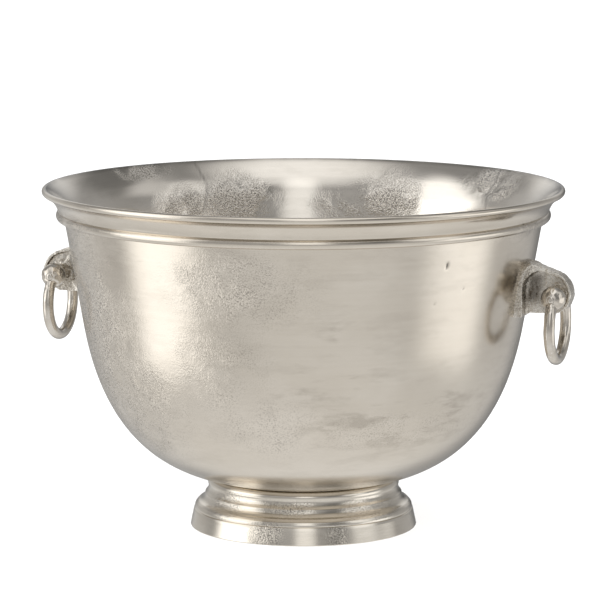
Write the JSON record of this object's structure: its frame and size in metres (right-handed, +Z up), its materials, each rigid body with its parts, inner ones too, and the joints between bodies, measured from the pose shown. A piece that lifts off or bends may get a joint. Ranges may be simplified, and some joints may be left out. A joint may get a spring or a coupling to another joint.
{
  "type": "champagne bucket",
  "caption": "Wide footed metal bowl for chilling bottles: flared beaded rim, round belly, stepped foot and a hinged ring handle on each side.",
  "frame": {"origin": "centre of the foot's rim, on the table", "axes": "+Z up along the bowl's axis, +X towards the right handle, the handles lie on the X axis"},
  "size_m": [0.404, 0.3806, 0.25],
  "materials": {
    "cast_bowl": "satin nickel on cast metal, turned and pitted",
    "cast_foot": "polished nickel on cast metal",
    "cast_lug": "rough cast, nickel finish",
    "ring": "smooth polished nickel",
    "pin": "peened and polished",
    "screw": "turned steel",
    "seal": "matt"
  },
  "bodies": {
    "bucket": {"bowl_shell": "cast_bowl", "foot": "cast_foot", "foot_screw": "screw", "foot_washer": "screw", "lug_left": "cast_lug", "lug_right": "cast_lug", "lug_screw_left_upper": "screw", "lug_screw_left_lower": "screw", "seal_washer_left_upper": "seal", "seal_washer_left_lower": "seal", "lug_screw_right_upper": "screw", "lug_screw_right_lower": "screw", "seal_washer_right_upper": "seal", "seal_washer_right_lower": "seal"},
    "handle_left": {"ring_left": "ring", "hinge_pin_left": "pin"},
    "handle_right": {"ring_right": "ring", "hinge_pin_right": "pin"}
  },
  "joints": [
    {"name": "ring_left_swing", "type": "hinge", "parent": "bucket", "child": "handle_left", "pos_m": [-0.191, 0, 0.1775], "axis": [0, 1, 0], "range_deg": [-36, 195]},
    {"name": "ring_right_swing", "type": "hinge", "parent": "bucket", "child": "handle_right", "pos_m": [0.191, 0, 0.1775], "axis": [0, -1, 0], "range_deg": [-36, 195]}
  ]
}
